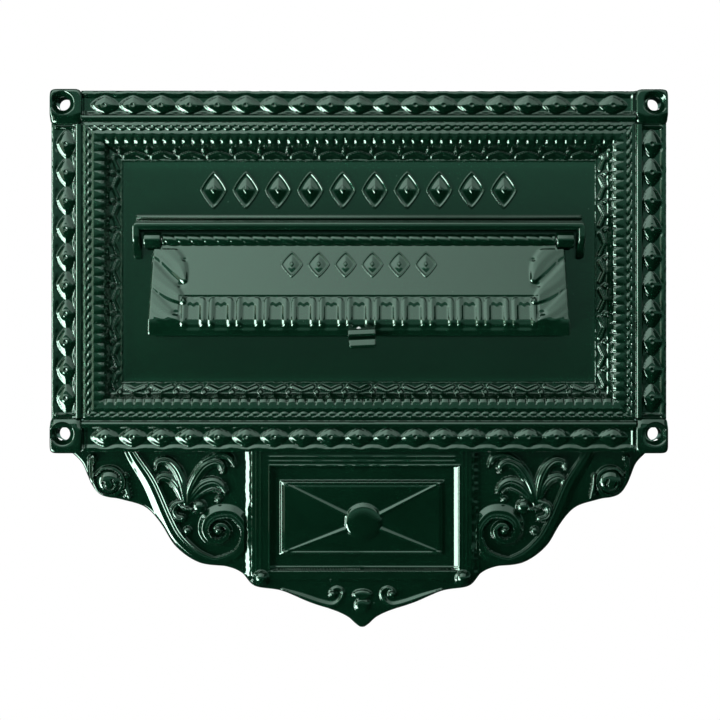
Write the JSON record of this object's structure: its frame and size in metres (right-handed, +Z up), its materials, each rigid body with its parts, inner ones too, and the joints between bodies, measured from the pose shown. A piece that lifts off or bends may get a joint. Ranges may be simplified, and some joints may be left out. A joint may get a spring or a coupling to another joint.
{
  "type": "wall mounted mailbox front",
  "caption": "Ornate cast letter plate that screws to a wall or door face over a letter slot, with a top-hung hooded flap, finger pull and a pendant crest below the frame.",
  "frame": {"origin": "centre of the plate's width and height, on the flat back face that lies against the wall, just below the letter slot", "axes": "+X to the viewer's right, +Z up, +Y into the wall, so the ornamented front faces -Y"},
  "size_m": [0.381, 0.0376, 0.333],
  "materials": {
    "plate_enamel": "thick gloss bottle-green enamel over an iron casting",
    "flap_enamel": "thick gloss bottle-green enamel over an iron casting",
    "pull_enamel": "thick gloss bottle-green enamel",
    "lug_enamel": "thick gloss bottle-green enamel",
    "rod_steel": "drawn steel rod, dull",
    "screw_steel": "zinc plated, satin"
  },
  "bodies": {
    "plate": {"front_plate": "plate_enamel", "hinge_rod": "rod_steel", "hinge_lug_left": "lug_enamel", "hinge_lug_right": "lug_enamel", "lug_screw_left": "screw_steel", "lug_screw_right": "screw_steel"},
    "flap": {"flap": "flap_enamel", "finger_pull": "pull_enamel", "pull_screw": "screw_steel"}
  },
  "joints": [
    {"name": "flap_hinge", "type": "hinge", "parent": "plate", "child": "flap", "pos_m": [0, -0.014, 0.0732], "axis": [-1, 0, 0], "range_deg": [0, 105]}
  ]
}
